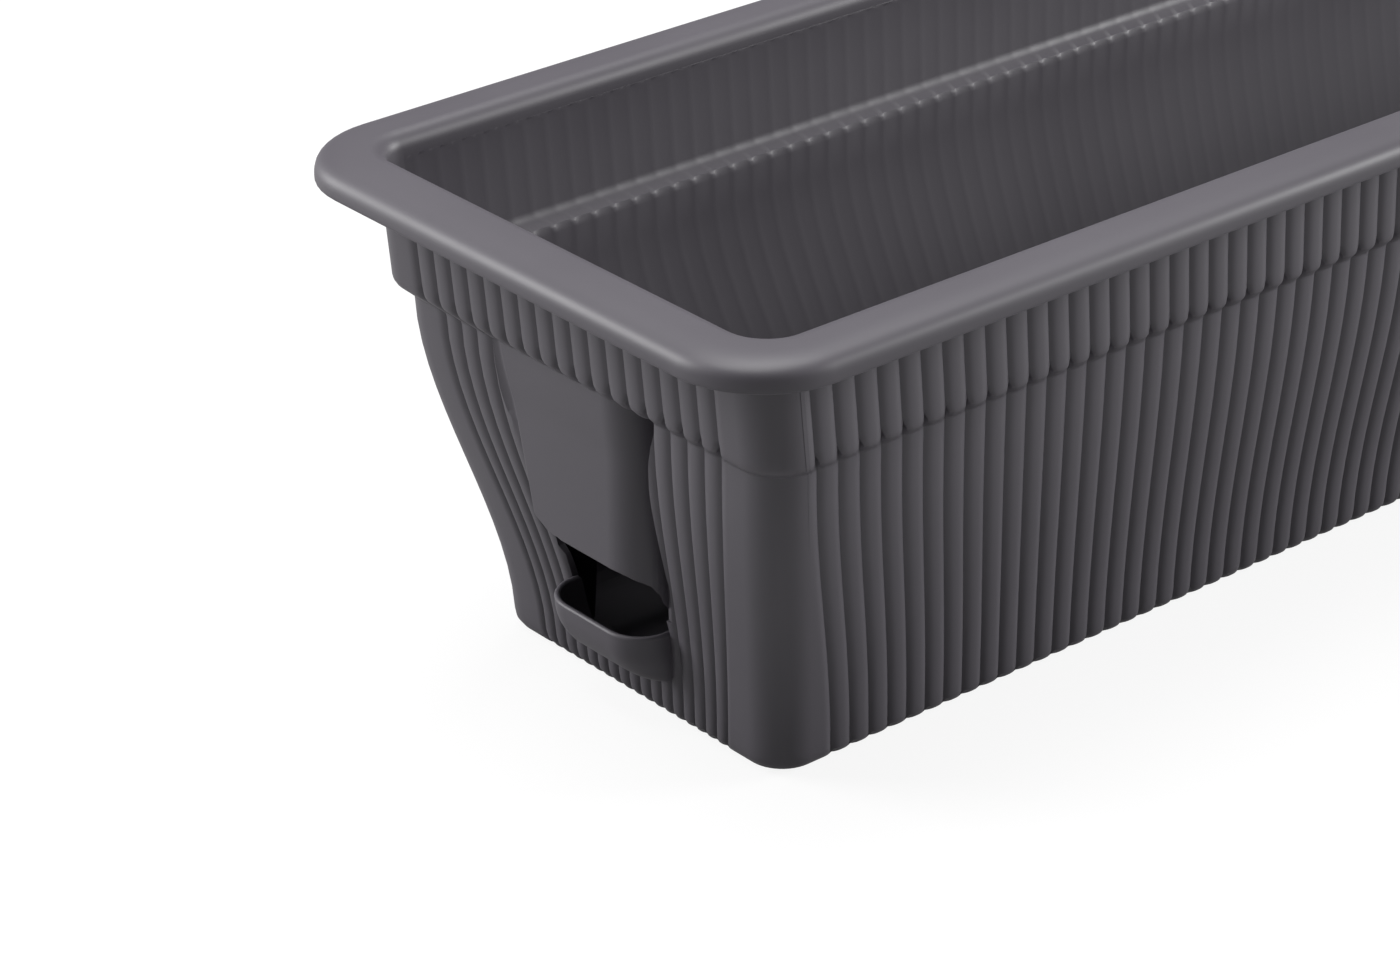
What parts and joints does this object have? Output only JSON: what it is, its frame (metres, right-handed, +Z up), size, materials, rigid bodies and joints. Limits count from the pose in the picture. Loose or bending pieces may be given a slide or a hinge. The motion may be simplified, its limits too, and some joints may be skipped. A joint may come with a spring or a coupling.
{
  "type": "window box planter",
  "caption": "Long reeded window box with a rounded rim, a side filling opening with hood and scoop, and lift-out false floors over a water reservoir.",
  "frame": {"origin": "middle of the underside, at the height of the surface the box stands on", "axes": "+X along the length, away from the end with the filling opening; +Y across the width; +Z up"},
  "size_m": [0.8, 0.194, 0.1448],
  "materials": {
    "anthracite_plastic": "satin moulded, slightly purple dark grey",
    "black_plastic": "matte moulded"
  },
  "bodies": {
    "box": {"planter_box": "anthracite_plastic"},
    "floor_left": {"false_floor_a": "black_plastic"},
    "floor_right": {"false_floor_b": "black_plastic"}
  },
  "joints": [
    {"name": "floor_left_lift", "type": "slide", "parent": "box", "child": "floor_left", "axis": [0, 0, 1], "range_m": [0, 0.15]},
    {"name": "floor_right_lift", "type": "slide", "parent": "box", "child": "floor_right", "axis": [0, 0, 1], "range_m": [0, 0.15]}
  ]
}
